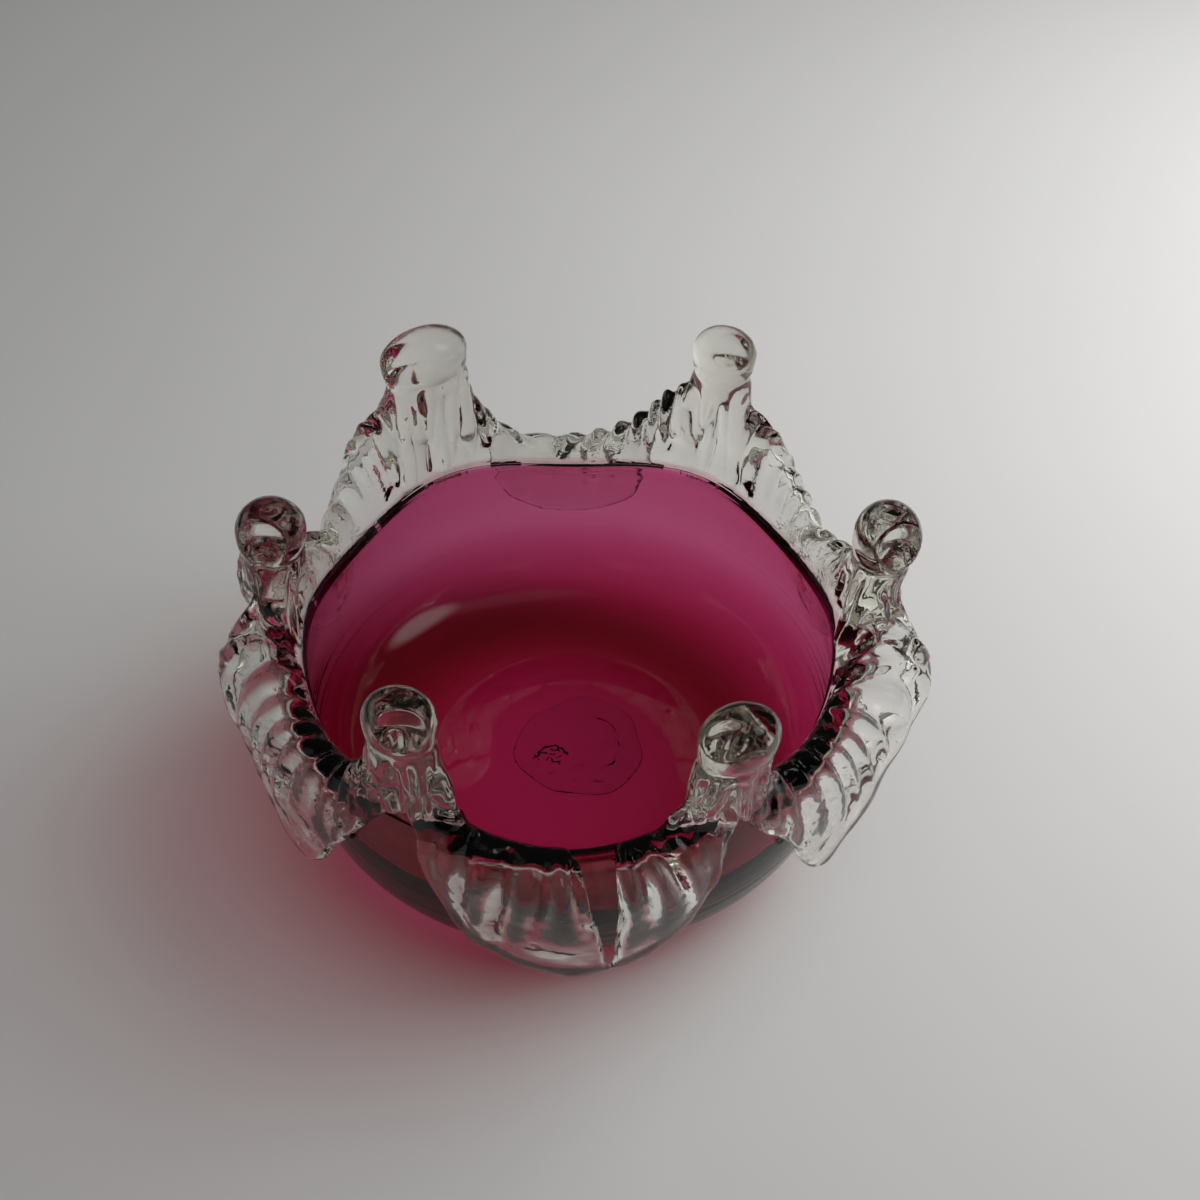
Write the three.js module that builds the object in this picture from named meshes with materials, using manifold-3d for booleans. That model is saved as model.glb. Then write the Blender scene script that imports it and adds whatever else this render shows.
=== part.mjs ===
// A mouth-blown cranberry glass bowl with a clear frilled trail round its rim.
// Millimetres, +Z up. The origin is on the bowl's axis, in the plane it stands on,
// and azimuths are counted from +X toward +Y, so the front of the bowl is at 270 degrees.
//
// The bowl is cased glass: a thin ruby cup inside a thicker clear cup. One thick trail of
// clear glass is wound once round the outside of the rim. It is crimped into ribs, pulled up
// into six fingers with round ends, and let down into six scallops between them. Its two
// ends meet in a slit at the front. A flat wad of clear glass is left in the hollow of the
// base, where the bowl was broken from the pontil.

import * as THREE from 'three';
import { mergeVertices } from 'three/addons/utils/BufferGeometryUtils.js';
import Module from 'manifold-3d';

const wasm = await Module();
wasm.setup();

// Bowl
const RIM_RADIUS = 47.9;        // outside of the lip
const RIM_HEIGHT = 37.3;        // mean height of the lip
const RIM_WAVE = 1.5;           // the lip rises under each finger and dips at each scallop
const BELLY_RADIUS = 49;        // widest part of the body
const BELLY_HEIGHT = 21.5;
const FOOT_RADIUS = 30;         // outside of the flat ring that the bowl stands on
const FOOT_WIDTH = 4;
const FLOOR_HEIGHT = 4.9;       // top of the floor, inside
const FLOOR_RADIUS = 24.8;      // flat part of the floor
const WALL = 3;                 // whole wall at the lip
const RUBY_WALL = 1.1;          // the ruby cup's share of it
const BASE_HOLLOW = 1.7;        // the base is raised this much inside its foot ring
const LAYER_GAP = 0.3;          // fused faces of two glasses are kept this far apart

// Pontil wad
const WAD_RADIUS = 12.6;
const WAD_THICK = 1;
const WAD_SHIFT = [1.5, 3];     // it is never quite central

// Trail
const ROOT_DEPTH = 3.4;         // height of the band where the trail is fused to the lip
const ROOT_DROP = 2.1;          // centre of that band below the lip
const SHEET = 2.6;              // thickness of the trail where it is spread out
const EDGE = 3;                 // thickness of its free edge
const CAP = 4.6;                // height of a finger's round end above its middle
const NECK = 0.84;              // thickness below the round end, against that of the end
const NECK_DOWN = 9;            // from the middle of the round end down to there
const FOOT = 2.8;               // thickness of a finger where it grows out of the trail
const FOOT_OUT = 0.4;           // its inner face is this far beyond the lip there
const FOOT_UP = 0.8;            // and its end is this far above the lip
const SPREAD = 5;               // a finger is this much wider on each side at its foot
const CREST = 2.8;              // a scallop first climbs this much above its root
const WEB = 16;                 // and the webs climb this much more where they meet a finger
const EDGE_UP = 7;              // the free edge crosses the back of a finger above the lip
const RIBS = 14;                // crimped ribs in each scallop
const RIB_DEPTH = 0.55;
const SLIT_TOP = 8.5;           // the slit between the trail's ends, at the lip
const SLIT_FOOT = 2;            // and at the free edge

// The six fingers. at: azimuth; out: beyond the lip; rise: middle of the round end above
// the lip; wide, thick: width of the round end along the rim, and across it; webs: how many
// degrees the web of glass reaches on either side of the finger. On each side the free edge
// runs through a shoulder and a haunch before it reaches the scallop: each is the turn away
// from the finger, then how far beyond the body and how far below the lip the edge lies.
const FINGERS = [
  { at: -1.5, out: 4.1, rise: 24.3, wide: 12, thick: 11.3, webs: [9, 12],
    before: [[6, 12.2, 3], [19, 8.1, 11]], after: [[9, 9, 0], [18, 7.4, 15]] },
  { at: 58, out: 3.6, rise: 25.7, wide: 11, thick: 10.6, webs: [15, 16],
    before: [[11, 5.5, -5], [20, 6, 14]], after: [[12, 5, -4], [20, 5.9, 15]] },
  { at: 121, out: 3.1, rise: 25.4, wide: 15.8, thick: 10.6, webs: [13, 18],
    before: [[9, 4.5, -5], [18, 5.9, 15]], after: [[13, 6.5, -6], [21, 7, 14]] },
  { at: 180, out: 0.5, rise: 24.2, wide: 12.3, thick: 11.7, webs: [12, 9],
    before: [[9, 9.5, 0], [18, 7.4, 15]], after: [[7, 10.3, 4], [17, 6.6, 14]] },
  { at: 240.3, out: 1.2, rise: 26, wide: 11.8, thick: 10.6, webs: [11, 8],
    before: [[6, 3, -2], [14, 2.8, 8]], after: [[4, 2.4, 6], [14, 4.9, 16]] },
  { at: 300, out: 3.5, rise: 24.2, wide: 12.6, thick: 10.6, webs: [6.5, 9],
    before: [[4, 3.7, 8], [13, 5.9, 15]], after: [[5, 3.5, 0], [12, 2.7, 7]] },
];
// The scallops that follow them: azimuth, reach beyond the body and fall below the lip. One
// of them holds the slit between the trail's two ends, that far from finger to finger.
const SCALLOPS = [
  { at: 29, out: 5.7, fall: 21.8 },
  { at: 91, out: 6.9, fall: 20.8 },
  { at: 150, out: 5.3, fall: 22.3 },
  { at: 215, out: 5.4, fall: 22.2 },
  { at: 270.5, out: 7.9, fall: 18, slit: 0.575 },
  { at: 321.5, out: 4.9, fall: 21 },
];

// Fineness of the faceted surfaces
const ROUND = 60;
const PER_SCALLOP = 3 * RIBS;
const ACROSS = 4;
const FINGER_SIDES = 16;

const { sin, cos, atan2, abs, floor, hypot, min, max, PI } = Math;
const deg = (a) => (a * PI) / 180;
const inDegrees = (a) => (a * 180) / PI;
const mix = (a, b, k) => a + (b - a) * k;
const clamp = (k) => min(1, max(0, k));
const smooth = (k) => clamp(k) ** 2 * (3 - 2 * clamp(k));
const range = (n) => Array.from({ length: n }, (_, i) => i);
const flat = ([r, z]) => new THREE.Vector2(r, z);
const polar = (azimuth, r, z) => {
  return new THREE.Vector3(r * cos(deg(azimuth)), r * sin(deg(azimuth)), z);
};

// Fingers and scallops take turns round the rim; finger 6 is finger 0 after a whole turn.
const COUNT = FINGERS.length;
const fingerAt = (k) => FINGERS[k % COUNT].at + 360 * floor(k / COUNT);

// 1 under a finger, -1 half way to the next one
function wave(azimuth) {
  let a = azimuth;
  while (a < fingerAt(0)) a += 360;
  while (a >= fingerAt(COUNT)) a -= 360;
  let k = 0;
  while (fingerAt(k + 1) <= a) k += 1;
  return cos((2 * PI * (a - fingerAt(k))) / (fingerAt(k + 1) - fingerAt(k)));
}

// How far the lip's wave lifts a point of the wall: all the way at the lip, not at all below
// the belly
function lift(z, azimuth) {
  return RIM_WAVE * wave(azimuth) * smooth((z - BELLY_HEIGHT) / (RIM_HEIGHT - BELLY_HEIGHT));
}

// Turns a profile of [radius, height] points, given from the axis to the axis
function turned(profile) {
  const geometry = new THREE.LatheGeometry(profile.map(flat), ROUND);
  geometry.rotateX(PI / 2);
  const at = geometry.attributes.position;
  for (let i = 0; i < at.count; i += 1) {
    at.setZ(i, at.getZ(i) + lift(at.getZ(i), inDegrees(atan2(at.getY(i), at.getX(i)))));
  }
  geometry.computeVertexNormals();
  return geometry;
}

// A smooth line through [radius, height] points, cut into equal steps
function line(points, steps) {
  const curve = new THREE.SplineCurve(points.map(flat));
  return curve.getSpacedPoints(steps).map((p) => [p.x, p.y]);
}

// Half a turn over the lip, from one face of a cup's wall to the other
function lip(from, to, height, steps = 4) {
  const middle = (from + to) / 2;
  const half = (to - from) / 2;
  return range(steps - 1).map((i) => {
    const a = PI * (1 - (i + 1) / steps);
    return [middle + half * cos(a), height + abs(half) * sin(a)];
  });
}

// Inside of the bowl, from the floor up to the lip, moved outward by a depth into the glass
function inside(depth) {
  const r = RIM_RADIUS - WALL;
  const swell = BELLY_RADIUS - WALL;
  const rise = BELLY_HEIGHT - FLOOR_HEIGHT;
  return line([
    [FLOOR_RADIUS, FLOOR_HEIGHT - depth],
    [mix(FLOOR_RADIUS, swell, 0.46) + 0.3 * depth, FLOOR_HEIGHT + 0.12 * rise - 0.9 * depth],
    [mix(FLOOR_RADIUS, swell, 0.82) + 0.72 * depth, FLOOR_HEIGHT + 0.4 * rise - 0.6 * depth],
    [swell + depth, BELLY_HEIGHT],
    [mix(swell, r, 0.55) + depth, mix(BELLY_HEIGHT, RIM_HEIGHT, 0.62)],
    [r + depth, RIM_HEIGHT - WALL],
  ], 8);
}

// Outside of the body, from the lip down to the foot
function outside() {
  const step = BELLY_RADIUS - FOOT_RADIUS;
  return line([
    [RIM_RADIUS, RIM_HEIGHT - WALL],
    [mix(BELLY_RADIUS, RIM_RADIUS, 0.5), mix(BELLY_HEIGHT, RIM_HEIGHT, 0.6)],
    [BELLY_RADIUS, BELLY_HEIGHT],
    [BELLY_RADIUS - 0.07 * step, BELLY_HEIGHT * 0.6],
    [BELLY_RADIUS - 0.21 * step, BELLY_HEIGHT * 0.36],
    [BELLY_RADIUS - 0.43 * step, BELLY_HEIGHT * 0.17],
    [FOOT_RADIUS + 0.3 * step, BELLY_HEIGHT * 0.05],
    [FOOT_RADIUS, 0],
  ], 10);
}

// Outside radius of the body at a height on its wall
const wall = outside();
function bodyRadius(z, azimuth) {
  const level = z - lift(z, azimuth);
  const i = max(wall.findIndex(([, height]) => height <= level), 1);
  const [[r0, z0], [r1, z1]] = [wall[i - 1], wall[i]];
  return mix(r0, r1, clamp((z0 - level) / (z0 - z1)));
}

// The ruby cup: the inner layer, from the floor to the lip
const rubyTop = RIM_HEIGHT - RUBY_WALL / 2;
const bore = RIM_RADIUS - WALL;
const ruby = turned([
  [0, FLOOR_HEIGHT - RUBY_WALL],
  ...inside(RUBY_WALL),
  [bore + RUBY_WALL, rubyTop],
  ...lip(bore + RUBY_WALL, bore, rubyTop),
  [bore, rubyTop],
  ...inside(0).reverse(),
  [0, FLOOR_HEIGHT],
]);

// The clear cup round it, with the foot ring and the hollow of the base
const under = RUBY_WALL + LAYER_GAP;
const casingTop = RIM_HEIGHT - (WALL - under) / 2;
const casing = turned([
  [0, BASE_HOLLOW],
  [WAD_RADIUS + 4, BASE_HOLLOW],
  [FOOT_RADIUS - FOOT_WIDTH, 0],
  ...wall.toReversed(),
  [RIM_RADIUS, casingTop],
  ...lip(RIM_RADIUS, bore + under, casingTop),
  [bore + under, casingTop],
  ...inside(under).reverse(),
  [0, FLOOR_HEIGHT - under],
]);

// The pontil wad: a flat disc with a wavering edge, broken off rough underneath
function wad() {
  const top = BASE_HOLLOW - LAYER_GAP;
  const shape = [[0, top - WAD_THICK], [WAD_RADIUS * 0.45, top - WAD_THICK * 0.7]];
  shape.push([WAD_RADIUS * 0.9, top - WAD_THICK], [WAD_RADIUS, top - WAD_THICK * 0.4]);
  shape.push([WAD_RADIUS * 0.96, top], [0, top]);
  const geometry = new THREE.LatheGeometry(shape.map(flat), 36);
  geometry.rotateX(PI / 2);
  const at = geometry.attributes.position;
  for (let i = 0; i < at.count; i += 1) {
    const a = atan2(at.getY(i), at.getX(i));
    const k = 1 - 0.04 * (1 + sin(3 * a + 1)) - 0.02 * (1 + sin(7 * a));
    at.setXY(i, at.getX(i) * k, at.getY(i) * k);
  }
  geometry.computeVertexNormals();
  return geometry;
}

// The trail's free edge is a closed curve: it rises at each finger, crosses its back, and
// runs by the shoulder and the haunch down round the next scallop.
function edgePoint(azimuth, out, up) {
  const z = RIM_HEIGHT + up;
  return polar(azimuth, bodyRadius(z, azimuth) + out, z);
}

const edgePoints = [];
const overFinger = [];
FINGERS.forEach(({ at, out, before, after }, k) => {
  const flank = (side, turns) => {
    return turns.map(([turn, reach, fall]) => edgePoint(at + side * turn, reach, -fall));
  };
  edgePoints.push(...flank(-1, before).reverse());
  overFinger.push(edgePoints.length);
  edgePoints.push(edgePoint(at, out + 1, EDGE_UP), ...flank(1, after));
  edgePoints.push(edgePoint(SCALLOPS[k].at, SCALLOPS[k].out, -SCALLOPS[k].fall));
});

const edgeCurve = new THREE.CatmullRomCurve3(edgePoints, true, 'centripetal');
edgeCurve.arcLengthDivisions = edgePoints.length * 40;
const lengths = edgeCurve.getLengths();
const whole = lengths[lengths.length - 1];
const lengthAt = (k) => lengths[overFinger[k % COUNT] * 40] + whole * floor(k / COUNT);

// Point of the free edge; place counts fingers, so 2.5 is half way from finger 2 to 3
function edge(place) {
  const k = floor(place);
  const length = mix(lengthAt(k), lengthAt(k + 1), place - k);
  return edgeCurve.getPointAt((((length / whole) % 1) + 1) % 1);
}

// The trail runs from one side of the slit round to the other.
const FRONT = SCALLOPS.findIndex(({ slit }) => slit);
const START = FRONT + SCALLOPS[FRONT].slit;
const STOP = START + COUNT;
const nearSlit = (place) => 1 - smooth(min(place - START, STOP - place) / 0.3);

// One slice of the trail, from the lip to the free edge, as a ring of points. Seen in the
// slice's own plane of radius and height it climbs from its root, turns over its crest and
// hangs down to a round edge. Where it hangs close to the bowl it is one solid slab; where
// it stands off it is hollow underneath.
function column(place) {
  const k = floor(place);
  const end = edge(place);
  const opening = inDegrees((SLIT_TOP - SLIT_FOOT) / 2 / RIM_RADIUS);
  const shift = (place < START + 1 ? opening : -opening) * nearSlit(place) ** 2;
  const azimuth = mix(fingerAt(k), fingerAt(k + 1), place - k);
  const rootZ = RIM_HEIGHT - ROOT_DROP + RIM_WAVE * wave(azimuth);
  const top = rootZ + ROOT_DEPTH / 2;
  const foot = rootZ - ROOT_DEPTH / 2;
  const [topR, footR] = [top, foot].map((z) => bodyRadius(z, azimuth + shift) + LAYER_GAP);
  const endR = hypot(end.x, end.y);
  let endTurn = inDegrees(atan2(end.y, end.x)) - azimuth;
  endTurn -= 360 * Math.round(endTurn / 360);

  const web = (turn, reach) => WEB * 2 ** -((max(turn, 0) / reach) ** 2);
  const crest = rootZ + CREST + web(azimuth - fingerAt(k), FINGERS[k % COUNT].webs[1])
    + web(fingerAt(k + 1) - azimuth, FINGERS[(k + 1) % COUNT].webs[0]);
  const hollow = smooth((endR - EDGE / 2 - footR - SHEET) / 3);
  const low = max(foot, end.z);
  const arch = (r0, z0, height, r1) => {
    const pull = (height - (z0 + end.z) / 8) / 0.75;
    const points = [[r0, z0], [mix(r0, r1, 0.1), pull], [r1 + 1.2 * hollow, pull], [r1, end.z]];
    const curve = new THREE.CubicBezierCurve(...points.map(flat));
    return (across) => curve.getPoint(across);
  };
  const over = arch(topR, top, crest, endR + EDGE / 2);
  const under = arch(footR, foot, mix(low, max(low, crest - SHEET), hollow), endR - EDGE / 2);
  const place3 = (point, across) => {
    return polar(azimuth + shift * (1 - across) + endTurn * across, point.x, point.y);
  };
  const line3 = (curve, rise) => range(ACROSS + 1).map((j) => {
    const across = j / ACROSS;
    const point = curve(across);
    const height = smooth(across / 0.4) * smooth((1.1 - across) / 0.5) * rise;
    const rib = RIB_DEPTH * cos(2 * PI * RIBS * place) * height;
    const slope = curve(min(across + 0.01, 1)).sub(curve(max(across - 0.01, 0))).normalize();
    return place3(new THREE.Vector2(point.x - slope.y * rib, point.y + slope.x * rib), across);
  });
  const round = [1, 2, 3].map((i) => {
    const a = (PI * i) / 4;
    return place3(new THREE.Vector2(endR - (EDGE / 2) * cos(a), end.z - (EDGE / 2) * sin(a)), 1);
  });
  return [...line3(under, -0.6 * hollow), ...round, ...line3(over, 1).reverse()];
}

function spread() {
  const gap = SLIT_FOOT / 2 / (lengthAt(FRONT + 1) - lengthAt(FRONT));
  const turns = COUNT * PER_SCALLOP;
  const columns = range(turns + 1).map((i) => column(mix(START + gap, STOP - gap, i / turns)));
  const ring = columns[0].length;
  const positions = columns.flat().flatMap((p) => [p.x, p.y, p.z]);
  const index = [];
  const at = (i, j) => i * ring + (j % ring);
  for (let i = 0; i < columns.length - 1; i += 1) {
    for (let j = 0; j < ring; j += 1) {
      index.push(at(i, j), at(i + 1, j), at(i + 1, j + 1));
      index.push(at(i, j), at(i + 1, j + 1), at(i, j + 1));
    }
  }
  const last = columns.length - 1;
  for (let j = 0; j < (ring - 1) / 2; j += 1) {
    const k = ring - 1 - j;
    const corners = j + 1 === k - 1 ? [[j, k, j + 1]] : [[j, k, k - 1], [j, k - 1, j + 1]];
    for (const [a, b, c] of corners) {
      index.push(at(0, a), at(0, c), at(0, b), at(last, a), at(last, b), at(last, c));
    }
  }
  const geometry = new THREE.BufferGeometry();
  geometry.setAttribute('position', new THREE.Float32BufferAttribute(positions, 3));
  geometry.setIndex(index);
  return geometry;
}

// A finger: it grows out of the trail thin and wide, narrows and thickens as it climbs, and
// ends round. Its inner face leans from the lip to the end.
function finger({ at, out, rise, wide, thick }) {
  const profile = [[0, FOOT_UP], [0.7, FOOT_UP + 0.4], [1, FOOT_UP + 1.5]];
  for (const k of [0.25, 0.5, 0.7, 0.85]) profile.push([1, mix(FOOT_UP + 1.5, rise, k)]);
  for (let i = 0; i < 5; i += 1) profile.push([cos((i * PI) / 10), rise + CAP * sin((i * PI) / 10)]);
  profile.push([0, rise + CAP]);
  const geometry = new THREE.LatheGeometry(profile.map(flat), FINGER_SIDES);
  geometry.rotateX(PI / 2);
  const spots = geometry.attributes.position;
  for (let i = 0; i < spots.count; i += 1) {
    const up = min(spots.getZ(i), rise);
    const climb = (up - FOOT_UP) / (rise - FOOT_UP);
    const neck = mix(FOOT, NECK * thick, smooth(up / (rise - NECK_DOWN)));
    const across = mix(neck, thick, smooth(1 - (rise - up) / NECK_DOWN));
    const along = wide + 2 * SPREAD * (1 - climb) ** 1.4;
    const inner = mix(FOOT_OUT, out - thick / 2, climb);
    const r = RIM_RADIUS + inner + (across / 2) * (1 + spots.getX(i));
    const turn = at + inDegrees(((along / 2) * spots.getY(i)) / RIM_RADIUS);
    spots.setXYZ(i, ...polar(turn, r, RIM_HEIGHT + spots.getZ(i)).toArray());
  }
  return geometry;
}

// A closed solid for joining, and back again
function solid(geometry) {
  const bare = geometry.clone();
  bare.deleteAttribute('normal');
  bare.deleteAttribute('uv');
  const merged = mergeVertices(bare, 1e-4);
  const vertProperties = new Float32Array(merged.attributes.position.array);
  const triVerts = new Uint32Array(merged.index.array);
  return new wasm.Manifold(new wasm.Mesh({ numProp: 3, vertProperties, triVerts }));
}

// The pockets that a finger's foot shuts off under the sheet are filled: only the outer
// shell is kept.
function trail() {
  const joined = FINGERS.reduce((body, item) => body.add(solid(finger(item))), solid(spread()));
  const shells = joined.simplify(0.03).decompose().sort((a, b) => b.volume() - a.volume());
  const mesh = shells[0].getMesh();
  const geometry = new THREE.BufferGeometry();
  geometry.setAttribute('position', new THREE.Float32BufferAttribute(mesh.vertProperties, 3));
  geometry.setIndex(Array.from(mesh.triVerts));
  geometry.computeVertexNormals();
  return geometry;
}

const rubyGlass = new THREE.MeshStandardMaterial({ color: 0x8c1440, roughness: 0.03, metalness: 0 });
const clearGlass = new THREE.MeshStandardMaterial({ color: 0xe9e4e0, roughness: 0.03, metalness: 0 });
const brokenGlass = new THREE.MeshStandardMaterial({ color: 0xcfc4c4, roughness: 0.35, metalness: 0 });

const group = new THREE.Group();
function add(name, geometry, material, x = 0, y = 0) {
  const mesh = new THREE.Mesh(geometry, material);
  mesh.name = name;
  mesh.position.set(x, y, 0);
  group.add(mesh);
}
add('bowl_ruby_cup', ruby, rubyGlass);
add('bowl_clear_casing', casing, clearGlass);
add('frill_trail', trail(), clearGlass);
add('pontil_wad', wad(), brokenGlass, ...WAD_SHIFT);

export default group;
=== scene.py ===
from math import acos, atan2, cos, degrees, floor, hypot, pi, radians, sin
import bmesh
import bpy
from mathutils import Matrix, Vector, bvhtree, kdtree, noise


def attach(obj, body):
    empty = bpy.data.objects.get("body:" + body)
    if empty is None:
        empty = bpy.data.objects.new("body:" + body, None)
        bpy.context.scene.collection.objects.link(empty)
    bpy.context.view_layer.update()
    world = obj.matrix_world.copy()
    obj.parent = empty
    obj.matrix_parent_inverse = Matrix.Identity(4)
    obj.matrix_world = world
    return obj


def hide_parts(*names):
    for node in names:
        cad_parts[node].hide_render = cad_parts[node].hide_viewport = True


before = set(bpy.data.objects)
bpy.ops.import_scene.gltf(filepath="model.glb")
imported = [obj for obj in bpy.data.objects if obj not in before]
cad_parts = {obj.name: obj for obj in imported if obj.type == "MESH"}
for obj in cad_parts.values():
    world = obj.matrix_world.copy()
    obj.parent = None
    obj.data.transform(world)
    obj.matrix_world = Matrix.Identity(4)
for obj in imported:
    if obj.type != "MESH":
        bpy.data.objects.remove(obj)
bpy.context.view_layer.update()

# Camera, table and light. The bowl stands on a plain pale table, seen from above its front at
# the height a phone is held, with one soft light at the right and back and one overhead.

CAMERA_PLACE = (0.0052, -0.2365, 0.2854)
CAMERA_TILT = 44.5              # degrees up from straight down
SENSOR, LENS = 36, 60           # mm
TABLE_REACH = 1.6
TABLE_TONE = (0.60, 0.64)
# Each lamp: name, place, size and power
LAMPS = [("window", (0.30, 0.13, 0.24), 0.34, 1.6), ("ceiling", (0.16, -0.02, 0.9), 0.7, 1.75)]
LAMP_COLOUR = (1.0, 0.99, 0.975)
LAMPS_AIM = Vector((0, 0, 0.03))
# How bright the room is, low down and overhead: as the glass mirrors it, and what it adds
# behind the glass, where its walls are warm
MIRRORED_LEVEL = (0.02, 0.06)
BEHIND_LEVEL = (0.12, 0.30)
BEHIND_COLOUR = (1.0, 0.94, 0.82, 1)
# Soft glows that the glass mirrors: the window, the ceiling over it, and a far pale wall.
# Each is a direction, its reach by axis and its strength.
GLOWS = [((0.72, -0.08, 0.69), (0.34, 0.26, 0.36), 1.5),
         ((0.26, -0.12, 0.96), (0.42, 0.15, 0.6), 0.15),
         ((-0.85, 0.45, 0.25), (0.4, 0.5, 0.25), 0.5)]

camera = bpy.data.objects.new("camera", bpy.data.cameras.new("camera"))
bpy.context.collection.objects.link(camera)
camera.location = CAMERA_PLACE
camera.rotation_euler = (radians(CAMERA_TILT), 0, 0)
camera.data.sensor_width = SENSOR
camera.data.lens = LENS
bpy.context.scene.camera = camera
bpy.context.scene.view_settings.view_transform = "Standard"


def new_material(name):
    """A new material with an empty node tree."""
    material = bpy.data.materials.new(name)
    material.use_nodes = True
    material.node_tree.nodes.clear()
    return material


def node(tree, kind, links=None, **values):
    """Adds a node; values set its own settings, links set or feed its sockets by name."""
    made = tree.nodes.new(kind)
    for key, value in values.items():
        setattr(made, key, value)
    for key, value in (links or {}).items():
        socket = made.inputs[key]
        if isinstance(value, bpy.types.NodeSocket):
            tree.links.new(value, socket)
        else:
            socket.default_value = value
    return made


table_paint = new_material("table_paint")
tree = table_paint.node_tree
place = node(tree, "ShaderNodeTexCoord").outputs["Object"]
cloud = node(tree, "ShaderNodeTexNoise", {"Vector": place, "Scale": 9, "Detail": 3})
grain = node(tree, "ShaderNodeTexNoise", {"Vector": place, "Scale": 900, "Detail": 2})
tone = node(tree, "ShaderNodeMapRange", {
    "Value": cloud.outputs["Fac"], "To Min": TABLE_TONE[0], "To Max": TABLE_TONE[1]})
paint = node(tree, "ShaderNodeCombineColor", {
    "Red": tone.outputs[0], "Green": tone.outputs[0], "Blue": tone.outputs[0]})
bump = node(tree, "ShaderNodeBump", {
    "Height": grain.outputs["Fac"], "Strength": 0.05, "Distance": 0.0003})
surface = node(tree, "ShaderNodeBsdfPrincipled", {
    "Base Color": paint.outputs[0], "Roughness": 0.6, "Normal": bump.outputs[0]})
node(tree, "ShaderNodeOutputMaterial", {"Surface": surface.outputs[0]})

shape = bmesh.new()
bmesh.ops.create_grid(shape, x_segments=1, y_segments=1, size=TABLE_REACH)
table = bpy.data.objects.new("table", bpy.data.meshes.new("table"))
shape.to_mesh(table.data)
shape.free()
bpy.context.collection.objects.link(table)
table.data.materials.append(table_paint)

for name, spot, size, energy in LAMPS:
    lamp = bpy.data.lights.new(name, "AREA")
    lamp.size = size
    lamp.energy = energy
    lamp.color = LAMP_COLOUR
    holder = bpy.data.objects.new(name, lamp)
    holder.location = spot
    holder.rotation_euler = (LAMPS_AIM - holder.location).to_track_quat("-Z", "Y").to_euler()
    holder.visible_glossy = False       # the glass mirrors the room's own soft glows
    holder.visible_transmission = False
    bpy.context.collection.objects.link(holder)

room = bpy.data.worlds.new("room")
room.use_nodes = True
room.node_tree.nodes.clear()
tree = room.node_tree
turn = node(tree, "ShaderNodeTexCoord").outputs["Generated"]
height = node(tree, "ShaderNodeSeparateXYZ", {"Vector": turn}).outputs["Z"]


def by_height(levels):
    """A level that goes from the first value low down to the second one overhead."""
    return node(tree, "ShaderNodeMapRange", {
        "Value": height, "From Min": -0.2, "From Max": 1.0,
        "To Min": levels[0], "To Max": levels[1]}).outputs[0]


level = by_height(MIRRORED_LEVEL)
for way, reach, strength in GLOWS:
    way = Vector(way).normalized()
    off = node(tree, "ShaderNodeVectorMath", {0: turn, 1: way}, operation="SUBTRACT")
    off = node(tree, "ShaderNodeVectorMath", {0: off.outputs[0], 1: reach}, operation="DIVIDE")
    away = node(tree, "ShaderNodeVectorMath", {0: off.outputs[0]}, operation="LENGTH")
    glow = node(tree, "ShaderNodeMapRange", {
        "Value": away.outputs["Value"], "From Min": 0.45, "From Max": 1.0,
        "To Min": strength, "To Max": 0.0}, interpolation_type="SMOOTHSTEP")
    level = node(tree, "ShaderNodeMath", {0: level, 1: glow.outputs[0]}, operation="ADD").outputs[0]
mirrored = node(tree, "ShaderNodeBackground", {"Color": (1, 1, 1, 1), "Strength": level})
warm = node(tree, "ShaderNodeBackground", {"Color": BEHIND_COLOUR, "Strength": by_height(BEHIND_LEVEL)})
behind = node(tree, "ShaderNodeAddShader", {0: mirrored.outputs[0], 1: warm.outputs[0]})
path = node(tree, "ShaderNodeLightPath")
sky = node(tree, "ShaderNodeMixShader", {
    0: path.outputs["Is Transmission Ray"], 1: mirrored.outputs[0], 2: behind.outputs[0]})
node(tree, "ShaderNodeOutputWorld", {"Surface": sky.outputs[0]})
bpy.context.scene.world = room

# Bowl, inner layer: the ruby cup. It is the thin coloured gather that was blown first; all
# of the bowl's colour is in this skin, and its outside is fused to the clear cup.

RIM_RADIUS = 0.0479
RIM_HEIGHT = 0.0373
RIM_WAVE = 0.0015               # the lip is this much higher under a finger, lower between two
BELLY_RADIUS = 0.049
BELLY_HEIGHT = 0.0215
FLOOR_RADIUS = 0.0248
FLOOR_HEIGHT = 0.0049
WALL = 0.003
RUBY_WALL = 0.00028
RUBY_COLOUR, RUBY_DENSITY = (0.82, 0.02, 0.47, 1), 5600
MEET = RIM_RADIUS - WALL + RUBY_WALL            # where the two layers meet on the lip
FINGER_AT = [-1.5, 58, 121, 180, 240.3, 300, 358.5]     # degrees


def mix(a, b, k):
    return a + (b - a) * k


def smooth(k):
    k = min(1, max(0, k))
    return k * k * (3 - 2 * k)


def wave(azimuth):
    """1 under a finger, -1 half way to the next one."""
    a = (azimuth - FINGER_AT[0]) % 360 + FINGER_AT[0]
    k = max(i for i in range(6) if FINGER_AT[i] <= a + 1e-9)
    return cos(2 * pi * (a - FINGER_AT[k]) / (FINGER_AT[k + 1] - FINGER_AT[k]))


def lift(z, azimuth):
    """How far the lip's wave raises or lowers the wall at a height."""
    return RIM_WAVE * wave(azimuth) * smooth((z - BELLY_HEIGHT) / (RIM_HEIGHT - BELLY_HEIGHT))


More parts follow.
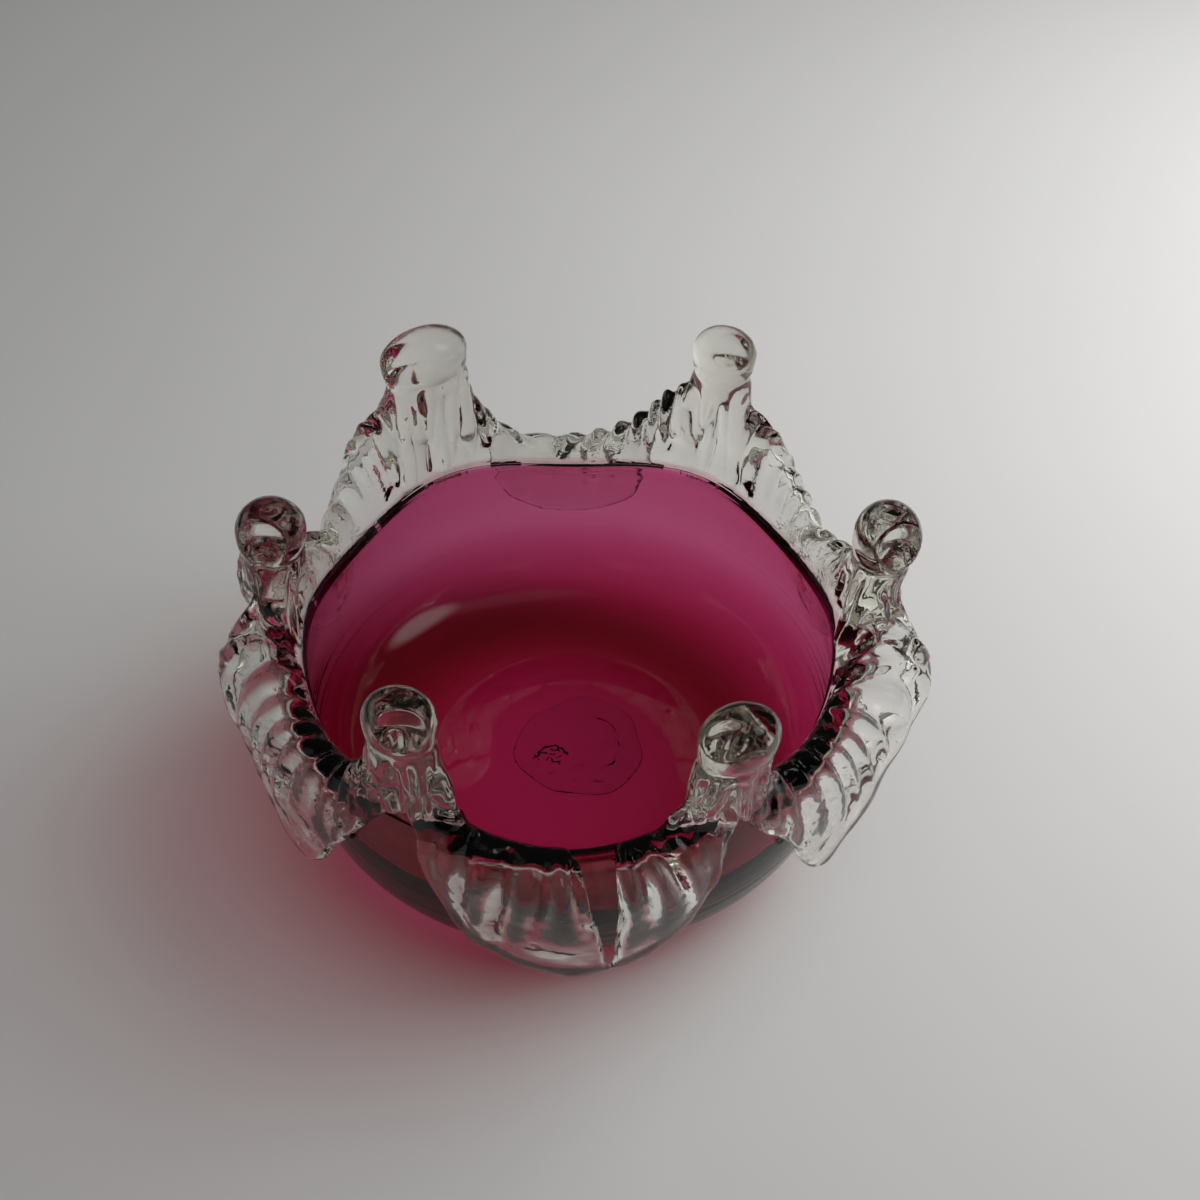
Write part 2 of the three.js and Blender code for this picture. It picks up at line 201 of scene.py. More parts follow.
def line(points, steps):
    """A smooth line through [radius, height] points, in equal steps of its length."""
    ends = [points[0], *points, points[-1]]
    dense = []
    for p0, p1, p2, p3 in zip(ends, ends[1:], ends[2:], ends[3:]):
        for i in range(40):
            t = i / 40
            dense.append([
                (2 * b - 2 * c + (c - a) / 2 + (d - b) / 2) * t ** 3
                + (-3 * b + 3 * c - (c - a) - (d - b) / 2) * t * t + (c - a) / 2 * t + b
                for a, b, c, d in zip(p0, p1, p2, p3)])
    dense.append(list(points[-1]))
    lengths = [0]
    for a, b in zip(dense, dense[1:]):
        lengths.append(lengths[-1] + hypot(b[0] - a[0], b[1] - a[1]))
    out, j = [], 0
    for i in range(steps + 1):
        want = lengths[-1] * i / steps
        while j < len(dense) - 2 and lengths[j + 1] < want:
            j += 1
        k = (want - lengths[j]) / (lengths[j + 1] - lengths[j])
        out.append((mix(dense[j][0], dense[j + 1][0], k), mix(dense[j][1], dense[j + 1][1], k)))
    return out


def inside(depth, steps=56):
    """The wall's inner face, from the floor up, moved outward by a depth into the glass. The
    depth is greater in the corner, where the blown glass is thickest."""
    r, swell, rise = RIM_RADIUS - WALL, BELLY_RADIUS - WALL, BELLY_HEIGHT - FLOOR_HEIGHT
    return line([
        (FLOOR_RADIUS, FLOOR_HEIGHT - depth),
        (mix(FLOOR_RADIUS, swell, 0.46) + 1.1 * depth, FLOOR_HEIGHT + 0.12 * rise - 2.3 * depth),
        (mix(FLOOR_RADIUS, swell, 0.82) + 1.5 * depth, FLOOR_HEIGHT + 0.4 * rise - 1.0 * depth),
        (swell + depth, BELLY_HEIGHT),
        (mix(swell, r, 0.55) + depth, mix(BELLY_HEIGHT, RIM_HEIGHT, 0.62)),
        (r + depth, RIM_HEIGHT - WALL)], steps)


def flat(r, z, steps):
    """Steps from the axis out to a floor's edge."""
    return [(r * i / steps, z) for i in range(steps)]


def lip(start, stop, steps):
    """Part of the round lip between two radii."""
    half = WALL / 2
    middle = RIM_RADIUS - half
    a, b = (acos(max(-1, min(1, (middle - r) / half))) for r in (start, stop))
    angles = [mix(a, b, i / steps) for i in range(steps + 1)]
    return [(middle - half * cos(a), RIM_HEIGHT - half + half * sin(a)) for a in angles]


def placed(name, shape):
    """Puts a finished shape in the scene as a smooth piece."""
    for face in shape.faces:
        face.smooth = True
    piece = bpy.data.objects.new(name, bpy.data.meshes.new(name))
    shape.to_mesh(piece.data)
    shape.free()
    bpy.context.collection.objects.link(piece)
    return piece


def turned(name, runs, segments=300):
    """Spins a closed profile, given in runs that are polished and fused by turns. The faces
    of the fused runs, which lie against the ruby skin, are marked."""
    shape = bmesh.new()
    marks = [shape.faces.layers.float.new(mark) for mark in ("fused", "skin")]
    for i, run in enumerate(runs):
        known = set(shape.faces)
        rim = [shape.verts.new((r, 0, z)) for r, z in run]
        edges = [shape.edges.new(pair) for pair in zip(rim, rim[1:])]
        bmesh.ops.spin(shape, geom=rim + edges, cent=(0, 0, 0), axis=(0, 0, 1), dvec=(0, 0, 0),
                       angle=2 * pi, steps=segments, use_merge=True, use_duplicate=False)
        for face in shape.faces:
            if face not in known:
                face[marks[0]] = face[marks[1]] = i % 2
    bmesh.ops.remove_doubles(shape, verts=shape.verts, dist=2e-6)
    for v in shape.verts:
        v.co.z += lift(v.co.z, degrees(atan2(v.co.y, v.co.x)))
    bmesh.ops.recalc_face_normals(shape, faces=shape.faces)
    return placed(name, shape)


def finish_glass(tree, glass, tint):
    """Joins a glass shader to the output. Light passes straight through where it is fused to
    another glass, and the lamps and the room light the table through it, by its tint."""
    through = node(tree, "ShaderNodeBsdfTransparent", {"Color": (1, 1, 1, 1)})
    mark = node(tree, "ShaderNodeAttribute", attribute_name="fused")
    surface = node(tree, "ShaderNodeMixShader", {
        0: mark.outputs["Fac"], 1: glass.outputs[0], 2: through.outputs[0]}).outputs[0]
    clear = node(tree, "ShaderNodeBsdfTransparent", {"Color": tint})
    path = node(tree, "ShaderNodeLightPath")
    for ray in ("Is Diffuse Ray", "Is Shadow Ray"):
        surface = node(tree, "ShaderNodeMixShader", {
            0: path.outputs[ray], 1: surface, 2: clear.outputs[0]}).outputs[0]
    return node(tree, "ShaderNodeOutputMaterial", {"Surface": surface})


def colour_by_depth(tree, output, colour, density):
    """The glass's own colour, deeper where the light goes further through it."""
    volume = node(tree, "ShaderNodeVolumeAbsorption", {"Color": colour, "Density": density})
    tree.links.new(volume.outputs[0], output.inputs["Volume"])


ruby_glass = new_material("ruby_glass")
tree = ruby_glass.node_tree
glass = node(tree, "ShaderNodeBsdfPrincipled", {
    "Base Color": (1, 1, 1, 1), "Roughness": 0.0, "IOR": 1.5, "Transmission Weight": 1})
output = finish_glass(tree, glass, (1, 1, 1, 1))
colour_by_depth(tree, output, RUBY_COLOUR, RUBY_DENSITY)

ruby = turned("ruby_cup", [
    flat(FLOOR_RADIUS, FLOOR_HEIGHT, 12) + inside(0) + lip(RIM_RADIUS - WALL, MEET, 8),
    flat(FLOOR_RADIUS, FLOOR_HEIGHT - RUBY_WALL, 12) + inside(RUBY_WALL) + lip(MEET, RIM_RADIUS, 1)[:1]])
ruby.data.materials.append(ruby_glass)
ruby.visible_shadow = False     # its colour is in the casing's tint, for light on the table
ruby.visible_diffuse = False
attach(ruby, "root")
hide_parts("bowl_ruby_cup")

# Bowl, outer layer: the clear cup that cases the ruby one. It carries the round lip, the
# foot ring and the hollow of the base, and shows the fine rings left by the tools.

FOOT_RADIUS = 0.030
FOOT_WIDTH = 0.004
BASE_HOLLOW = 0.0017
WAD_RADIUS = 0.0126
WAD_ROOM = 0.004                # the hollow is level this far round the wad
SEAM = 2e-5                     # two fused faces are kept this far apart
# The clear casing is coloured pink: painted light, standing for the ruby-pink light that reaches the table
# under the body and shows through its lower part
CASING_PINK_PAINTED_LIGHT, CASING_PINK_DENSITY = (0.86, 0.48, 0.56, 1), 280
RING_SCALE = (9, 9, 800)
RING_DEPTH = 0.0004
RINGS_BETWEEN = (0.014, 0.025)  # the rings are full below the first height, gone at the second
# The light that reaches the table takes the ruby's colour, less of it through the floor
FLOOR_TINT, WALL_TINT = (1.0, 0.2, 0.62, 1), (0.5, 0.1, 0.16, 1)
CLEAR_TINT = (0.94, 0.93, 0.92, 1)


def outside(steps=72):
    """The body's outer face, from the lip down to the foot."""
    step = BELLY_RADIUS - FOOT_RADIUS
    return line([
        (RIM_RADIUS, RIM_HEIGHT - WALL),
        (mix(BELLY_RADIUS, RIM_RADIUS, 0.5), mix(BELLY_HEIGHT, RIM_HEIGHT, 0.6)),
        (BELLY_RADIUS, BELLY_HEIGHT),
        (BELLY_RADIUS - 0.07 * step, BELLY_HEIGHT * 0.6),
        (BELLY_RADIUS - 0.21 * step, BELLY_HEIGHT * 0.36),
        (BELLY_RADIUS - 0.43 * step, BELLY_HEIGHT * 0.17),
        (FOOT_RADIUS + 0.3 * step, BELLY_HEIGHT * 0.05),
        (FOOT_RADIUS, 0)], steps)


casing_glass = new_material("casing_glass")
tree = casing_glass.node_tree
place = node(tree, "ShaderNodeTexCoord").outputs["Object"]
squeeze = node(tree, "ShaderNodeMapping", {"Vector": place, "Scale": RING_SCALE})
rings = node(tree, "ShaderNodeTexNoise", {"Vector": squeeze.outputs[0], "Scale": 1, "Detail": 2})
height = node(tree, "ShaderNodeSeparateXYZ", {"Vector": place}).outputs["Z"]
low_down = node(tree, "ShaderNodeMapRange", {
    "Value": height, "From Min": RINGS_BETWEEN[1], "From Max": RINGS_BETWEEN[0]})
rings = node(tree, "ShaderNodeMath", {
    0: rings.outputs["Fac"], 1: low_down.outputs[0]}, operation="MULTIPLY")
bump = node(tree, "ShaderNodeBump", {
    "Height": rings.outputs[0], "Strength": 0.5, "Distance": RING_DEPTH})
glass = node(tree, "ShaderNodeBsdfPrincipled", {
    "Base Color": (0.985, 0.98, 0.975, 1), "Roughness": 0.0, "IOR": 1.5, "Transmission Weight": 1,
    "Normal": bump.outputs[0]})
over_floor = node(tree, "ShaderNodeMapRange", {
    "Value": height, "From Min": FLOOR_HEIGHT + 0.0001, "From Max": FLOOR_HEIGHT + 0.0031})
ruby_tint = node(tree, "ShaderNodeMix", {"Factor": over_floor.outputs[0]}, data_type="RGBA")
ruby_tint.inputs["A"].default_value = FLOOR_TINT
ruby_tint.inputs["B"].default_value = WALL_TINT
mark = node(tree, "ShaderNodeAttribute", attribute_name="skin")
tint = node(tree, "ShaderNodeMix", {"Factor": mark.outputs["Fac"]}, data_type="RGBA")
tint.inputs["A"].default_value = CLEAR_TINT
tree.links.new(ruby_tint.outputs["Result"], tint.inputs["B"])
output = finish_glass(tree, glass, tint.outputs["Result"])
# the casing's pink colour by depth is painted light, not the clear glass's own colour
colour_by_depth(tree, output, CASING_PINK_PAINTED_LIGHT, CASING_PINK_DENSITY)

wall = outside()
round_lip = lip(MEET + SEAM, RIM_RADIUS, 14)
foot_ring = [(FOOT_RADIUS - FOOT_WIDTH * 0.5, 0), (FOOT_RADIUS - FOOT_WIDTH, 0.0001),
             (FOOT_RADIUS - 2 * FOOT_WIDTH, BASE_HOLLOW * 0.7), (WAD_RADIUS + WAD_ROOM, BASE_HOLLOW)]
casing = turned("clear_casing", [
    round_lip + wall + foot_ring + flat(WAD_RADIUS + WAD_ROOM, BASE_HOLLOW, 28)[::-1],
    flat(FLOOR_RADIUS, FLOOR_HEIGHT - RUBY_WALL - SEAM, 12) + inside(RUBY_WALL + SEAM) + round_lip[:1]])
casing.data.materials.append(casing_glass)
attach(casing, "root")
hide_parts("bowl_clear_casing")

# Frill: one thick trail of clear glass, laid hot round the outside of the lip, crimped into
# ribs, pulled up with pincers into six fingers and let down into six scallops. Its two ends
# meet in a slit at the front.

ROOT_DEPTH = 0.0034
ROOT_DROP = 0.0021              # the middle of the root is this far below the top of the lip
SUNK = 0.0003                   # the root is let this far into the wall's glass
SHEET = 0.0026
EDGE = 0.003
CREST = 0.0028
SIDE_CREST = 0.0022             # the sheet stands this much higher at the two sides
WEB = 0.016
CAP = 0.0046
NECK = 0.84
NECK_DOWN = 0.009
WAIST = 0.0012
FOOT_OUT = -0.0023
# How far a finger's foot goes down below the lip, and its thickness there: the side and back
# fingers have a heel outside the lip, the two front ones stand on two legs over a hollow
FEET = [(0.0016, 0.0048)] * 4 + [(0.0015, 0.0028)] * 2
SPREAD = 0.005                  # a finger widens by this much to each side down to its foot
HEEL_ROUND = 0.0015             # the foot's edge is rounded over this height
# Below the lip a heel gets thinner and moves outward: over this height, and by these two
HEEL_DOWN, HEEL_THIN, HEEL_OUT = 0.004, 0.0022, 0.0018
BULGE = 0.0012                  # the sheet's arch aims this far past its free edge
SLIT_TOP = 0.0085
SLIT_FOOT = 0.0012
VOXEL = 0.0006
# Each finger, in millimetres and degrees: reach and rise of its round end, its width along the
# rim and its thickness, how far its webs turn, and the free edge before and after it by turn,
# reach and fall
FINGERS = [
    (4.1, 24.3, 12, 11.3, (9, 12), [(6, 12.2, 3), (19, 8.1, 11)], [(9, 9, 0), (18, 7.4, 15)]),
    (3.6, 25.7, 11, 10.6, (15, 16), [(11, 5.5, -5), (20, 6, 14)], [(12, 5, -4), (20, 5.9, 15)]),
    (3.1, 25.4, 15.8, 10.6, (13, 18), [(9, 4.5, -5), (18, 5.9, 15)], [(13, 6.5, -6), (21, 7, 14)]),
    (0.5, 24.2, 12.3, 11.7, (12, 9), [(9, 9.5, 0), (18, 7.4, 15)], [(7, 10.3, 4), (17, 6.6, 14)]),
    (1.2, 26, 11.8, 10.6, (11, 8), [(6, 3, -2), (14, 2.8, 8)], [(4, 2.4, 6), (14, 4.9, 16)]),
    (3.5, 24.2, 12.6, 10.6, (6.5, 9), [(4, 3.7, 8), (13, 5.9, 15)], [(5, 3.5, 0), (12, 2.7, 7)])]
# Over each finger the free edge rises, and its reach differs from the round end's, in
# millimetres: it is inside the four side and back fingers and outside the two front ones
EDGE_UP = 7
EDGE_OUT = [-1.5] * 4 + [1] * 2
# Each scallop: azimuth, reach beyond the body and fall below the lip
SCALLOPS = [(29, 5.7, 21.8), (91, 6.9, 20.8), (150, 5.3, 22.3),
            (215, 5.4, 22.2), (270.5, 7.9, 18), (321.5, 4.9, 21)]
# Where the pincers pressed each round end flat: turn from straight outward and climb in
# degrees, and the share of the way out from its middle where the flat lies
FACETS = [(-65, 20, 0.7), (222, 50, 0.76), (144, 30, 0.7), (80, 18, 0.68), (30, 26, 0.7), (-50, 50, 0.8)]
START = 4.575                   # where the trail starts, counted in fingers
STOP = START + 6
# Relief: the crimped ribs of the sheet, its slow swells and how far it is let in for them,
# and the folds, grooves and nicks of the fingers
RIBS = 14                       # to each finger
RIB_DEPTH = 0.0011
SWELL = 0.0005
LET_IN = 0.0004
FOLD, FOLD_GRAIN = 0.0014, (290, 36)            # the grain is across and up, to the metre
GROOVE, GROOVE_GRAIN, GROOVE_WIDTH = 0.0011, (300, 45), 0.17
NICK, NICK_DOWN, NICK_HALF = 0.0006, 0.0042, 0.0014
JOINT_UP, JOINT_HALF = 0.0005, 0.014            # where fingers and sheet join
# A round end goes this far below its middle, and its flats are looked for this far from it;
# they stop lower down than the round end, are slightly hollow and have soft edges
KNOB_DOWN, KNOB_REACH = 0.004, 0.011
FLAT_DOWN, FLAT_HOLLOW, FLAT_SOFT = 0.006, 0.6, 0.0004
FRILL_COLOUR, FRILL_DENSITY = (0.84, 0.835, 0.75, 1), 65


def body_radius(z, azimuth):
    """Outside radius of the body at a height on its wall."""
    level = z - lift(z, azimuth)
    if level >= wall[0][1]:
        return wall[0][0]
    i = next((i for i, (_, height) in enumerate(wall) if height <= level), len(wall) - 1)
    (r0, z0), (r1, z1) = wall[i - 1], wall[i]
    return mix(r0, r1, min(1, max(0, (z0 - level) / (z0 - z1))))


def edge_point(azimuth, out, up):
    z = RIM_HEIGHT + up / 1000
    r = body_radius(z, azimuth) + out / 1000
    return Vector((r * cos(radians(azimuth)), r * sin(radians(azimuth)), z))


edge_points, over_finger = [], []
for at, finger, edge_out, scallop in zip(FINGER_AT, FINGERS, EDGE_OUT, SCALLOPS):
    out, *_, before, after = finger
    low_at, reach, fall = scallop
    edge_points += [edge_point(at - turn, r, -down) for turn, r, down in reversed(before)]
    over_finger.append(len(edge_points))
    edge_points.append(edge_point(at, out + edge_out, EDGE_UP))
    edge_points += [edge_point(at + turn, r, -down) for turn, r, down in after]
    edge_points.append(edge_point(low_at, reach, -fall))


def centripetal(p0, p1, p2, p3, t):
    """Point of a centripetal Catmull-Rom span between p1 and p2."""
    d0, d1, d2 = ((b - a).length ** 0.5 for a, b in ((p0, p1), (p1, p2), (p2, p3)))
    m1 = (p1 - p0) / d0 - (p2 - p0) / (d0 + d1) + (p2 - p1) / d1
    m2 = (p2 - p1) / d1 - (p3 - p1) / (d1 + d2) + (p3 - p2) / d2
    m1, m2 = m1 * d1, m2 * d1
    return ((2 * p1 - 2 * p2 + m1 + m2) * t ** 3 + (3 * p2 - 3 * p1 - 2 * m1 - m2) * t * t + m1 * t + p1)


FINE = 60
edge_line = []
for i in range(len(edge_points)):
    p = [edge_points[(i + j - 1) % len(edge_points)] for j in range(4)]
    edge_line += [centripetal(*p, t / FINE) for t in range(FINE)]
edge_line.append(edge_points[0].copy())
edge_length = [0]
for a, b in zip(edge_line, edge_line[1:]):
    edge_length.append(edge_length[-1] + (b - a).length)


def length_at(k):
    """Length of the free edge up to a finger, which may be on a second time round."""
    return edge_length[over_finger[k % 6] * FINE] + edge_length[-1] * (k // 6)


def edge(place):
    """Point of the free edge; place counts fingers, so 2.5 is half way from finger 2 to 3."""
    k = floor(place)
    want = mix(length_at(k), length_at(k + 1), place - k) % edge_length[-1]
    low, high = 0, len(edge_length) - 1
    while high - low > 1:
        middle = (low + high) // 2
        low, high = (middle, high) if edge_length[middle] <= want else (low, middle)
    share = (want - edge_length[low]) / (edge_length[high] - edge_length[low])
    return edge_line[low].lerp(edge_line[high], share)


def finger_at(k):
    """Azimuth of a finger, which may be on a second time round."""
    return FINGER_AT[k % 6] + 360 * (k // 6)


def spread(climb):
    """How much wider a finger is to each side, at a share of its height."""
    return SPREAD * (1 - climb) ** 1.4


def bezier(a, b, c, d, t):
    s = 1 - t
    return a * s * s * s + 3 * b * s * s * t + 3 * c * s * t * t + d * t * t * t


def rib(place, across):
    """Height of the crimped ribs: round folds with sharp valleys, uneven as hand work is."""
    turn = RIBS * place + 1.0 * noise.noise(Vector((place * 4, 1.3, across * 1.2)))
    size = 1 + 0.6 * noise.noise(Vector((place * 8, 7.1, across * 1.5)))
    size += 0.8 * smooth(1.5 - abs(place - 5.72) / 0.12)            # deepest under the right finger
    size *= 1.7 - 0.7 * smooth(min(place - START, STOP - place) / 0.45)     # and by the slit
    size *= 1 - 0.6 * smooth(1.6 - abs(place % 6 - 1.68) / 0.2)     # the crest is smooth at the back
    start = 0.08 + 0.12 * smooth(-1.5 * sin(pi / 3 * place))        # and the lip at the front
    stop = 0.68 + 0.3 * noise.noise(Vector((place * 5, 3.7, 0)))
    reach = smooth((across - start) / 0.24) * (1 - smooth((across - stop) / 0.3))
    return size * reach * (1.5 * abs(sin(pi * turn)) ** 1.1 - 0.9)


def slice_ring(place, across):
    """Ring of points round one slice of the trail: under, round the free edge, and back over.
    Each comes with its share of the way across, and how far the ribs move it."""
    k = floor(place)
    end = edge(place)
    near_slit = 1 - smooth(min(place - START, STOP - place) / 0.3)
    opening = degrees((SLIT_TOP - SLIT_FOOT) / 2 / RIM_RADIUS)
    shift = (opening if place < START + 1 else -opening) * near_slit ** 2
    azimuth = mix(finger_at(k), finger_at(k + 1), place - k)
    root_z = RIM_HEIGHT - ROOT_DROP + RIM_WAVE * wave(azimuth)
    foot = root_z - ROOT_DEPTH / 2
    top, top_r = RIM_HEIGHT + RIM_WAVE * wave(azimuth) - 0.0003, MEET + 0.0001
    foot_r = body_radius(foot, azimuth + shift) - SUNK
    end_r = hypot(end.x, end.y)
    end_turn = degrees(atan2(end.y, end.x)) - azimuth
    end_turn -= 360 * round(end_turn / 360)
    webs = FINGERS[k % 6][4][1], FINGERS[(k + 1) % 6][4][0]
    turns = azimuth - finger_at(k), finger_at(k + 1) - azimuth
    webbed = sum(WEB * 2 ** -((turn / reach) ** 2) for turn, reach in zip(turns, webs))
    crest = root_z + CREST + SIDE_CREST * cos(radians(azimuth)) ** 2 + webbed
    hollow = smooth((end_r - EDGE / 2 - foot_r - SHEET) / 0.003)
    low = max(foot, end.z)
    ring = []

    def add(r, z, t, side):
        a = radians(azimuth + shift * (1 - t) + end_turn * t)
        ring.append((Vector((r * cos(a), r * sin(a), z)), t, side))

    arches = []
    for r0, z0, height, r1 in ((foot_r, foot, mix(low, max(low, crest - SHEET), hollow), end_r - EDGE / 2),
                               (top_r, top, crest, end_r + EDGE / 2)):
        pull = (height - (z0 + end.z) / 8) / 0.75
        arches.append(((r0, mix(r0, r1, 0.02), r1 + BULGE * hollow, r1), (z0, pull, pull, end.z)))
    (under_r, under_z), (over_r, over_z) = arches
    for j in range(across + 1):
        add(bezier(*under_r, j / across), bezier(*under_z, j / across), j / across, -0.6 * hollow)
    for j in range(1, 8):
        a = pi * j / 8
        add(end_r - EDGE / 2 * cos(a), end.z - EDGE / 2 * sin(a), 1, mix(-0.6 * hollow, 1, j / 8))
    for j in range(across, -1, -1):
        add(bezier(*over_r, j / across), bezier(*over_z, j / across), j / across, 1)
    return ring


ACROSS = 20
COLUMNS = 6 * RIBS * 8
gap = SLIT_FOOT / 2 / (length_at(5) - length_at(4))
places = [mix(START + gap, STOP - gap, i / COLUMNS) for i in range(COLUMNS + 1)]
slices = [slice_ring(place, ACROSS) for place in places]
around = len(slices[0])

shape = bmesh.new()
bmesh.ops.create_grid(shape, x_segments=COLUMNS, y_segments=around, size=1)
for v in shape.verts:
    i, j = round((v.co.x + 1) / 2 * COLUMNS), round((v.co.y + 1) / 2 * around)
    v.co = slices[i][j % around][0]
bmesh.ops.remove_doubles(shape, verts=shape.verts, dist=1e-7)
bmesh.ops.holes_fill(shape, edges=shape.edges)
bmesh.ops.recalc_face_normals(shape, faces=shape.faces)

knobs = []
for at, (out, rise, wide, thick, *_), (heel, foot) in zip(FINGER_AT, FINGERS, FEET):
    out, rise, wide, thick = (size / 1000 for size in (out, rise, wide, thick))
    # The finger is spun at a radius of 1, then each of its points is put in its place
    profile = [(0, -heel), (0.7, 0.0004 - heel), (1, HEEL_ROUND - heel)]
    profile += [(1, mix(HEEL_ROUND - heel, rise, i / 18)) for i in range(1, 18)]
    profile += [(cos(pi * i / 24), rise + CAP * sin(pi * i / 24)) for i in range(12)]
    profile.append((0, rise + CAP))
    known = set(shape.verts)
    rim = [shape.verts.new((r, 0, z)) for r, z in profile]
    edges = [shape.edges.new(pair) for pair in zip(rim, rim[1:])]
    bmesh.ops.spin(shape, geom=rim + edges, cent=(0, 0, 0), axis=(0, 0, 1), dvec=(0, 0, 0),
                   angle=2 * pi, steps=48, use_merge=True, use_duplicate=False)
    bmesh.ops.remove_doubles(shape, verts=[v for v in shape.verts if v not in known], dist=1e-6)
    spun = [v for v in shape.verts if v not in known]
    bmesh.ops.recalc_face_normals(shape, faces=list({f for v in spun for f in v.link_faces}))
    for v in spun:
        up = min(v.co.z, rise)
        climb = max(0, up / rise)
        sunk = smooth(-up / HEEL_DOWN)
        neck = mix(foot, NECK * thick, smooth(up / (rise - NECK_DOWN))) - HEEL_THIN * sunk
        across = mix(neck, thick, smooth(1 - (rise - up) / NECK_DOWN))
        waist = sin(pi * min(1, (rise - up) / NECK_DOWN))
        along = wide + 2 * spread(climb) - WAIST * waist
        inner = mix(FOOT_OUT, out - thick / 2, climb) + HEEL_OUT * sunk
        r = RIM_RADIUS + inner + across / 2 * (1 + v.co.x)
        a = radians(at) + along / 2 * v.co.y / RIM_RADIUS
        v.co = r * cos(a), r * sin(a), RIM_HEIGHT + v.co.z
    a = radians(at)
    middle = Vector(((RIM_RADIUS + out) * cos(a), (RIM_RADIUS + out) * sin(a), RIM_HEIGHT + rise))
    knobs.append((middle, Vector((thick / 2, wide / 2, CAP)), a))

# Sheet and fingers are joined into one skin of glass
frill = bpy.data.objects.new("frill_trail_glass", bpy.data.meshes.new("frill_trail_glass"))
shape.to_mesh(frill.data)
shape.free()
bpy.context.collection.objects.link(frill)
remesh = frill.modifiers.new("join", "REMESH")
remesh.mode = "VOXEL"
remesh.voxel_size = VOXEL
relax = frill.modifiers.new("relax", "SMOOTH")
relax.factor = 0.5
relax.iterations = 6
joined = bpy.data.meshes.new_from_object(frill.evaluated_get(bpy.context.evaluated_depsgraph_get()))
frill.modifiers.clear()
frill.data = joined


def ease(shape, verts, factor):
    """Evens out some points of a shape by one step."""
    bmesh.ops.smooth_vert(shape, verts=verts, factor=factor,
                          use_axis_x=True, use_axis_y=True, use_axis_z=True)


def pressed(point):
    """How far the pincers' flats move a point of a round end inward."""
    push = Vector((0, 0, 0))
    for (knob, reach, straight), (turn, climb, share) in zip(knobs, FACETS):
        off = point - knob
        if off.length < KNOB_REACH and off.z > -FLAT_DOWN:
            a, b, c = straight + radians(turn), radians(climb), radians(turn)
            flat_on = Vector((cos(a) * cos(b), sin(a) * cos(b), sin(b)))
            tall = Vector((cos(c) * cos(b) * reach.x, sin(c) * cos(b) * reach.y, sin(b) * reach.z)).length
            past = off.dot(flat_on) - share * tall
            if past > 0:
                push += flat_on * (past + FLAT_HOLLOW * past * past / tall) * smooth(past / FLAT_SOFT)
    return push


# The joints of fingers and sheet are rounded more
shape = bmesh.new()
shape.from_mesh(joined)
joints, on_finger, nearest = [], [], []
for v in shape.verts:
    turn = degrees(atan2(v.co.y, v.co.x))
    off, k = min((abs((turn - at + 180) % 360 - 180), k) for k, at in enumerate(FINGER_AT[:6]))
    off = RIM_RADIUS * radians(off)
    up = v.co.z - RIM_HEIGHT
    rise, wide = FINGERS[k][1:3]
    if JOINT_UP < up < rise / 1000 - KNOB_DOWN and off < JOINT_HALF:
        joints.append(v)
    nearest.append(k)
    half = wide / 2000 + spread(min(1, max(0, up / rise * 1000)))
    on_finger.append(smooth((half + 0.0005 - off) / 0.002) * smooth((up - 0.001) / 0.003))
for _ in range(20):
    ease(shape, joints, 0.5)
shape.normal_update()

# Then the relief is moved into the mesh: each point knows the nearest place on the trail
spots = kdtree.KDTree(len(slices) * around)
for i, ring in enumerate(slices):
    for j, (point, t, side) in enumerate(ring):
        spots.insert(point, i * around + j)
spots.balance()
along_rib = shape.verts.layers.float.new("place")
across_rib = shape.verts.layers.float.new("across")
crimped = shape.verts.layers.float.new("crimped")
pinched = shape.verts.layers.float.new("pinched")
moves = []
for v in shape.verts:
    point, index, away = spots.find(v.co)
    i, j = divmod(index, around)
    low, high = slices[max(i - 1, 0)][j][0], slices[min(i + 1, COLUMNS)][j][0]
    way = high - low
    near = max(-0.5, min(0.5, (v.co - point).dot(way) / way.length_squared)) * 2
    place = places[i] + near * (places[1] - places[0])
    t, side = slices[i][j][1:]
    on_sheet = (1 - smooth((away - 0.0006) / 0.003)) * (1 - on_finger[v.index])
    ends = smooth(min(place - START, STOP - place) / 0.02)
    v[along_rib], v[across_rib] = place * RIBS, t + (3 if side < 0.5 else 0)
    v[crimped] = on_sheet * smooth(t / 0.2)
    # the ribs go down into the underside too, and the sheet swells here and there
    depth = RIB_DEPTH * rib(place, t) * (side if side > 0 else -0.35 * side) * on_sheet * ends
    # the fingers carry long grooves and folds, drawn out as they were pulled
    tangent = RIM_RADIUS * atan2(v.co.y, v.co.x)
    outer = 20 if hypot(v.co.x, v.co.y) > RIM_RADIUS + 0.004 else 0
    groove = Vector((tangent * GROOVE_GRAIN[0], v.co.z * GROOVE_GRAIN[1], outer))
    under_knob = knobs[nearest[v.index]][0].z - v.co.z
    below = (under_knob - KNOB_DOWN) / 0.005
    v[pinched] = (1 - smooth(below)) * on_finger[v.index]
    fold = Vector((tangent * FOLD_GRAIN[0], v.co.z * FOLD_GRAIN[1], outer + 7))
    groove = max(0, 1 - abs(noise.noise(groove)) / GROOVE_WIDTH)
    depth += (FOLD * noise.noise(fold) - GROOVE * groove) * (1 - on_sheet) * smooth(below)
    # the pincers left a nick under each round end
    depth -= NICK * max(0, 1 - abs(under_knob - NICK_DOWN) / NICK_HALF) * (1 - on_sheet)
    depth += SWELL * noise.noise(v.co * 150) * smooth(t / 0.3) * mix(0.2, 1, on_sheet)
    depth -= LET_IN * smooth(t / 0.5) * on_sheet * (side > 0.5)
    moves.append(v.normal * depth - pressed(v.co))
for v, move in zip(shape.verts, moves):
    v.co += move
for _ in range(3):
    ease(shape, shape.verts, 0.4)
for face in shape.faces:
    face.smooth = True
shape.to_mesh(joined)
shape.free()


